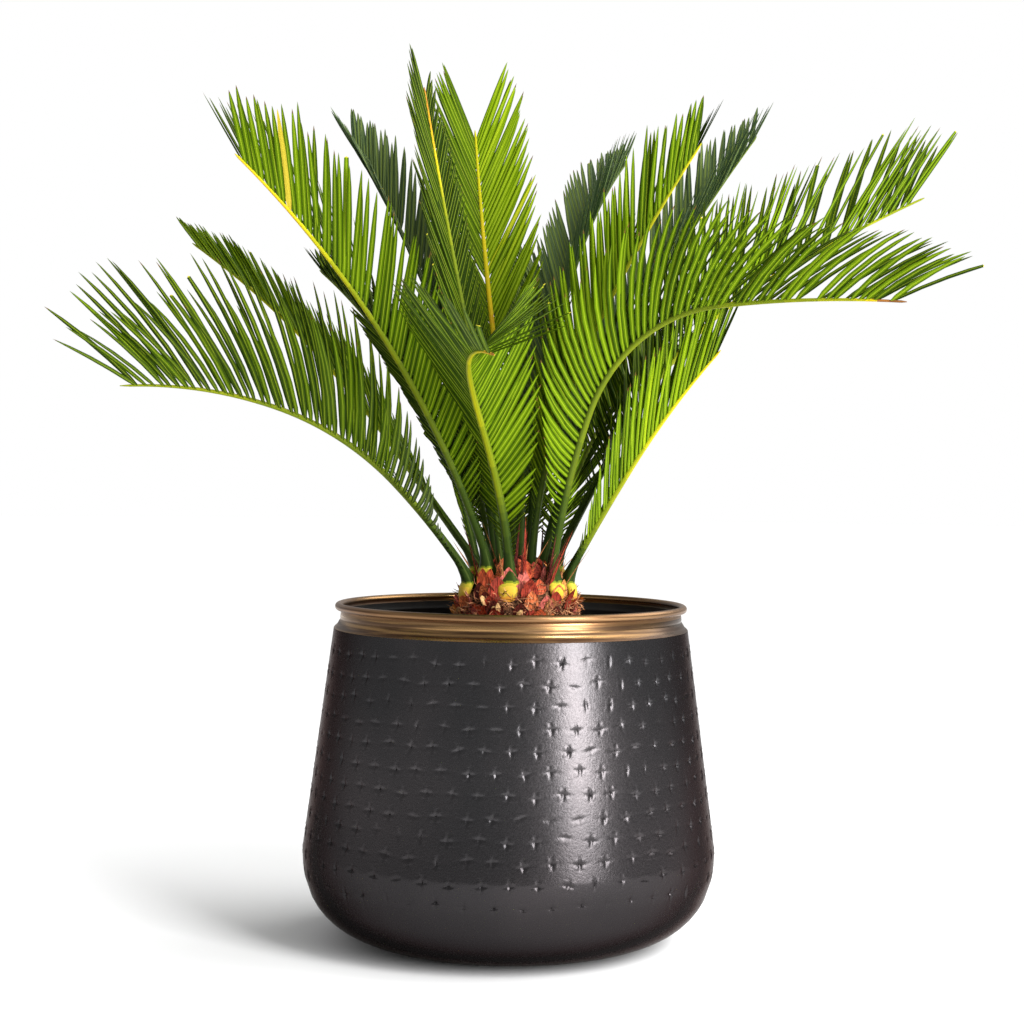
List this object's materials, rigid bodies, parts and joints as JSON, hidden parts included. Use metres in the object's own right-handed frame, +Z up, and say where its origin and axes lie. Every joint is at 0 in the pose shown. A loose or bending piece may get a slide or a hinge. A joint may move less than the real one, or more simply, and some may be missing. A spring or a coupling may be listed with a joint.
{
  "type": "potted sago palm",
  "caption": "Sago palm with stiff feathery fronds in a V round a short scaly trunk, growing in a tapered charcoal metal pot with a brass neck and rolled bead.",
  "frame": {"origin": "centre of the pot's flat underside, which is the face it stands on", "axes": "+Z up along the pot's axis; the side in the picture faces -Y, with +X to its right"},
  "size_m": [0.7256, 0.6732, 0.7426],
  "materials": {
    "pot_body": "satin charcoal metal with a fine grain",
    "pot_brass": "brushed antique brass, dulled in streaks",
    "soil": "dark bark and potting soil, matt",
    "trunk": "red-brown leaf scales and fibres, matt",
    "frond": "waxy green leaflets on a yellow-green rib"
  },
  "bodies": {
    "root": {"pot_body": "pot_body", "pot_rim": "pot_brass", "soil": "soil", "trunk": "trunk", "frond_right_arching": "frond", "frond_right_arching_end": "frond", "frond_right_high": "frond", "frond_left_low": "frond", "frond_left_upright": "frond", "frond_centre": "frond", "frond_centre_left": "frond", "frond_right_upright": "frond", "frond_back_right": "frond", "frond_front": "frond", "frond_front_end": "frond", "frond_left_middle": "frond", "frond_back_left_upright": "frond", "frond_back_right_upright": "frond", "frond_right_small": "frond", "frond_back_left_low": "frond", "frond_back_upright": "frond", "frond_back_left": "frond", "frond_back_right_low": "frond", "frond_back_low": "frond"}
  },
  "joints": []
}
